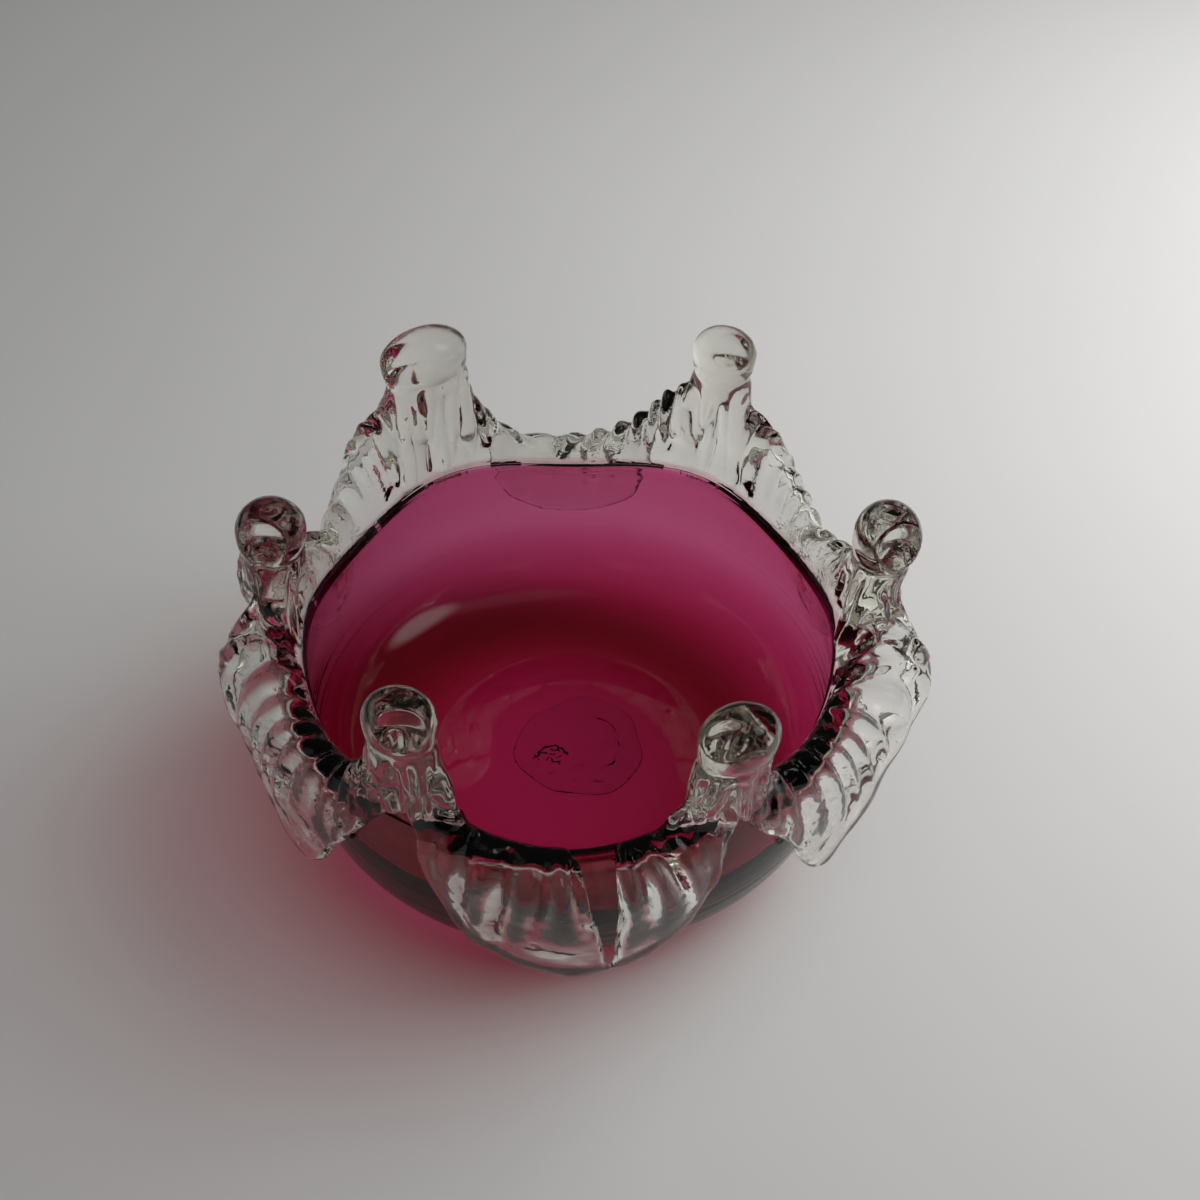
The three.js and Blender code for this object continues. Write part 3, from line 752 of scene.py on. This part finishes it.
def skin_of(piece):
    """The surface of a piece, to search for its nearest point."""
    shape = bmesh.new()
    shape.from_mesh(piece.data)
    skin = bvhtree.BVHTree.FromBMesh(shape)
    shape.free()
    return skin


def fuse(piece, skin):
    """Marks the faces of a piece that lie inside another one: there the two are one glass."""
    shape = bmesh.new()
    shape.from_mesh(piece.data)
    mark = shape.faces.layers.float.get("fused") or shape.faces.layers.float.new("fused")
    for face in shape.faces:
        middle = face.calc_center_median()
        point, normal, _, away = skin.find_nearest(middle)
        if away < 0.004 and (middle - point).dot(normal) < 0:
            face[mark] = 1
    shape.to_mesh(piece.data)
    shape.free()


fuse(casing, skin_of(frill))
fuse(frill, skin_of(casing))

frill_glass = new_material("frill_glass")
tree = frill_glass.node_tree
# Fine streaks follow the ribs down the sheet, and a slow swirl runs through all of it
streak_at = node(tree, "ShaderNodeCombineXYZ", {
    "X": node(tree, "ShaderNodeAttribute", attribute_name="place").outputs["Fac"],
    "Y": node(tree, "ShaderNodeAttribute", attribute_name="across").outputs["Fac"]})
streak_at = node(tree, "ShaderNodeMapping", {"Vector": streak_at.outputs[0], "Scale": (1.2, 0.8, 1)})
streaks = node(tree, "ShaderNodeTexNoise", {
    "Vector": streak_at.outputs[0], "Scale": 1, "Detail": 1, "Distortion": 0.3})
place = node(tree, "ShaderNodeTexCoord").outputs["Object"]
swirl = node(tree, "ShaderNodeTexNoise", {"Vector": place, "Scale": 110, "Detail": 1, "Distortion": 0.8})
on_ribs = node(tree, "ShaderNodeAttribute", attribute_name="crimped")
press = node(tree, "ShaderNodeMath", {
    0: streaks.outputs["Fac"], 1: on_ribs.outputs["Fac"]}, operation="MULTIPLY")
bump = node(tree, "ShaderNodeBump", {"Height": press.outputs[0], "Strength": 0.4, "Distance": 0.0006})
bump = node(tree, "ShaderNodeBump", {
    "Height": swirl.outputs["Fac"], "Strength": 0.08, "Distance": 0.0005, "Normal": bump.outputs[0]})
# The pincers' jaws left dull patches on the round ends
patches = node(tree, "ShaderNodeTexNoise", {"Vector": place, "Scale": 260, "Detail": 2, "Distortion": 1.2})
patches = node(tree, "ShaderNodeMapRange", {
    "Value": patches.outputs["Fac"], "From Min": 0.4, "From Max": 0.65, "To Min": 0.02, "To Max": 0.16})
on_ends = node(tree, "ShaderNodeAttribute", attribute_name="pinched")
dull = node(tree, "ShaderNodeMath", {
    0: patches.outputs[0], 1: on_ends.outputs["Fac"]}, operation="MULTIPLY")
glass = node(tree, "ShaderNodeBsdfPrincipled", {
    "Base Color": (0.975, 0.975, 0.96, 1), "Roughness": dull.outputs[0], "IOR": 1.5, "Transmission Weight": 1,
    "Normal": bump.outputs[0]})
output = finish_glass(tree, glass, (0.9, 0.895, 0.885, 1))
colour_by_depth(tree, output, FRILL_COLOUR, FRILL_DENSITY)
frill.data.materials.append(frill_glass)
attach(frill, "root")
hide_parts("frill_trail")

# Pontil wad: the flat button of clear glass left in the hollow of the base where the bowl
# was cracked off the iron. Its underside is broken rough and was never ground.

WAD_THICK = 0.001
WAD_SHIFT = (0.0015, 0.003)
WAD_TOP = 0.98                  # radius of its flat top, as a share of its own
SHELLS = 0.0004
TORN_AT, TORN_RADIUS, TORN_DEPTH = (-0.0055, -0.002), 0.0018, 0.0009
CRACK_RADIUS, CRACK_HALF, CRACK_DEPTH = 0.0078, 0.0007, 0.0003

pontil_glass = new_material("pontil_glass")
tree = pontil_glass.node_tree
place = node(tree, "ShaderNodeTexCoord").outputs["Object"]
swirl = node(tree, "ShaderNodeTexNoise", {"Vector": place, "Scale": 240, "Detail": 3, "Distortion": 2.0})
bump = node(tree, "ShaderNodeBump", {"Height": swirl.outputs["Fac"], "Strength": 0.3, "Distance": 0.0004})
glass = node(tree, "ShaderNodeBsdfPrincipled", {
    "Base Color": (0.97, 0.96, 0.95, 1), "Roughness": 0.0, "IOR": 1.5, "Transmission Weight": 1,
    "Normal": bump.outputs[0]})
finish_glass(tree, glass, (0.9, 0.9, 0.9, 1))

top = BASE_HOLLOW + SEAM
low = BASE_HOLLOW - WAD_THICK
shape = bmesh.new()
profile = flat(WAD_TOP, top, 24) + [(WAD_TOP, top)]
profile += [(r, low + WAD_THICK * r * r) for r, _ in flat(1, 0, 72)[::-1]]
rim = [shape.verts.new((r * WAD_RADIUS, 0, z)) for r, z in profile]
edges = [shape.edges.new(pair) for pair in zip(rim, rim[1:])]
bmesh.ops.spin(shape, geom=rim + edges, cent=(0, 0, 0), axis=(0, 0, 1), dvec=(0, 0, 0),
               angle=2 * pi, steps=160, use_merge=True, use_duplicate=False)
bmesh.ops.remove_doubles(shape, verts=shape.verts, dist=1e-6)
bmesh.ops.recalc_face_normals(shape, faces=shape.faces)
for v in shape.verts:
    x, y = v.co.x, v.co.y
    a = atan2(y, x)
    waver = 1 - 0.04 * (1 + sin(3 * a + 1)) - 0.02 * (1 + sin(7 * a))
    if v.co.z < top - 1e-6:
        # the broken face: shallow shells, a torn hollow and a curved crack
        shells = abs(noise.noise(Vector((x * 260, y * 260, 4)))) * SHELLS
        ragged = 0.0016 * noise.noise(Vector((x * 500, y * 500, 9)))
        torn = 1 - smooth((hypot(x - TORN_AT[0], y - TORN_AT[1]) + ragged - TORN_RADIUS) / 0.0016)
        torn *= 0.5 + 0.6 * noise.noise(Vector((x * 1300, y * 1300, 2)))
        crack = abs(hypot(x, y) - CRACK_RADIUS - ragged / 2) / CRACK_HALF
        crack = max(0, 1 - crack) * smooth(cos(a - 0.3) * 3 - 1)
        within = smooth((0.82 * WAD_RADIUS - hypot(x, y)) / 0.001)
        v.co.z += (shells + TORN_DEPTH * torn + CRACK_DEPTH * crack) * within
    v.co.x, v.co.y = x * waver + WAD_SHIFT[0], y * waver + WAD_SHIFT[1]
wad = placed("pontil_wad_glass", shape)
fuse(wad, skin_of(casing))
fuse(casing, skin_of(wad))
wad.data.materials.append(pontil_glass)
wad.visible_shadow = False
wad.visible_diffuse = False
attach(wad, "root")
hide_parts("pontil_wad")
